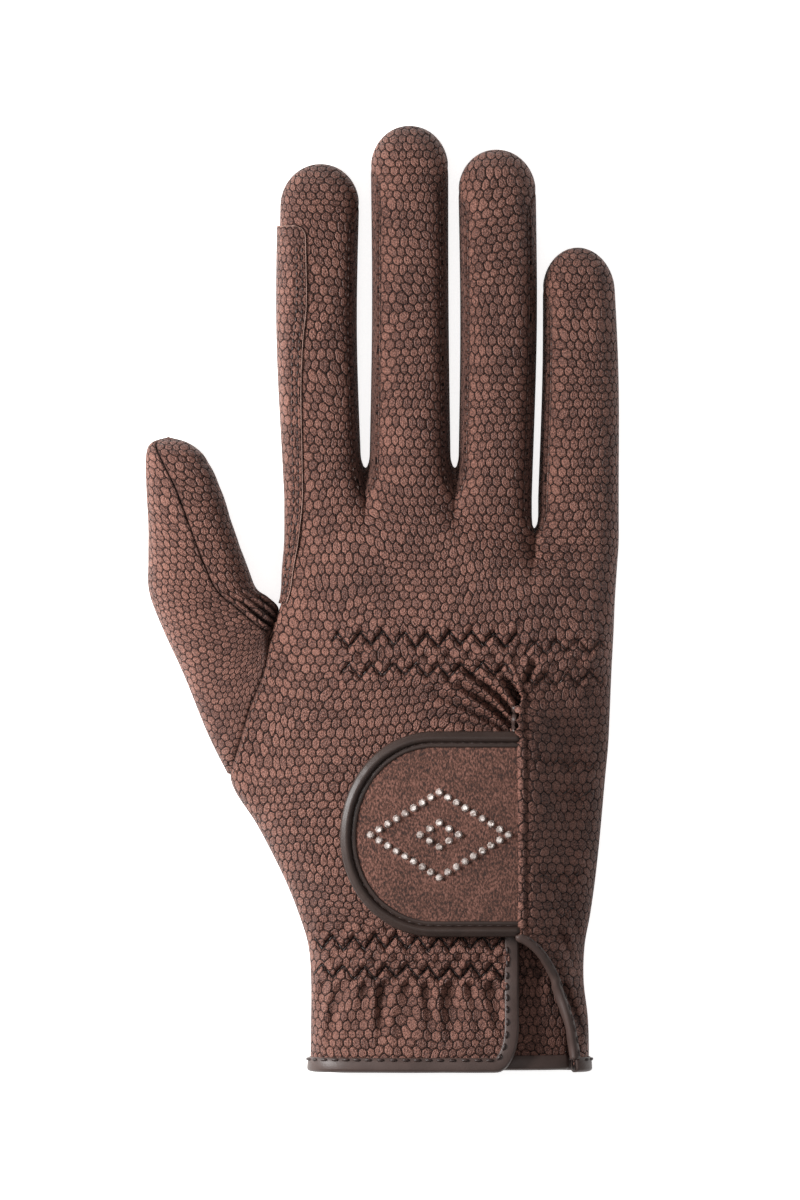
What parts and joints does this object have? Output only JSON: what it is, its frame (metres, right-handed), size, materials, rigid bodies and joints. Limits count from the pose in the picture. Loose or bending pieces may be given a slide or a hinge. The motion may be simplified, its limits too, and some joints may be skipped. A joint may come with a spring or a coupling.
{
  "type": "riding glove",
  "caption": "Women's right-hand riding glove in reptile-embossed brown leather with open cuff, slit with side vent, and a D-shaped suede closing tab set with cut crystals.",
  "frame": {"origin": "on the floor plane, under the middle of the palm, 85 mm above the cuff hem and on the middle of the cuff", "axes": "+Y from the cuff to the fingertips, +Z out of the back of the hand, so the palm faces -Z and the thumb is on the -X side"},
  "size_m": [0.1185, 0.2368, 0.0283],
  "materials": {
    "embossed_leather": "reptile-embossed, satin",
    "smooth_leather": "smooth, satin",
    "suede": "napped, matt",
    "cut_crystal": "faceted, foiled back"
  },
  "bodies": {
    "root": {"back_panel": "embossed_leather", "palm_panel": "embossed_leather", "fourchette_index_middle": "embossed_leather", "fourchette_middle_ring": "embossed_leather", "fourchette_ring_little": "embossed_leather", "thumb_outer": "embossed_leather", "thumb_inner": "embossed_leather", "index_patch": "embossed_leather", "vent_gusset": "embossed_leather", "hem_binding": "smooth_leather", "vent_binding": "smooth_leather", "gusset_binding": "smooth_leather", "tab_binding": "smooth_leather", "closing_tab": "suede", "crystal_01": "cut_crystal", "crystal_02": "cut_crystal", "crystal_03": "cut_crystal", "crystal_04": "cut_crystal", "crystal_05": "cut_crystal", "crystal_06": "cut_crystal", "crystal_07": "cut_crystal", "crystal_08": "cut_crystal", "crystal_09": "cut_crystal", "crystal_10": "cut_crystal", "crystal_11": "cut_crystal", "crystal_12": "cut_crystal", "crystal_13": "cut_crystal", "crystal_14": "cut_crystal", "crystal_15": "cut_crystal", "crystal_16": "cut_crystal", "crystal_17": "cut_crystal", "crystal_18": "cut_crystal", "crystal_19": "cut_crystal", "crystal_20": "cut_crystal", "crystal_21": "cut_crystal", "crystal_22": "cut_crystal", "crystal_23": "cut_crystal", "crystal_24": "cut_crystal", "crystal_25": "cut_crystal", "crystal_26": "cut_crystal", "crystal_27": "cut_crystal", "crystal_28": "cut_crystal", "crystal_29": "cut_crystal", "crystal_30": "cut_crystal", "crystal_31": "cut_crystal", "crystal_32": "cut_crystal", "crystal_33": "cut_crystal", "crystal_34": "cut_crystal", "crystal_35": "cut_crystal", "crystal_36": "cut_crystal", "crystal_37": "cut_crystal", "crystal_38": "cut_crystal", "crystal_39": "cut_crystal", "crystal_40": "cut_crystal"}
  },
  "joints": []
}
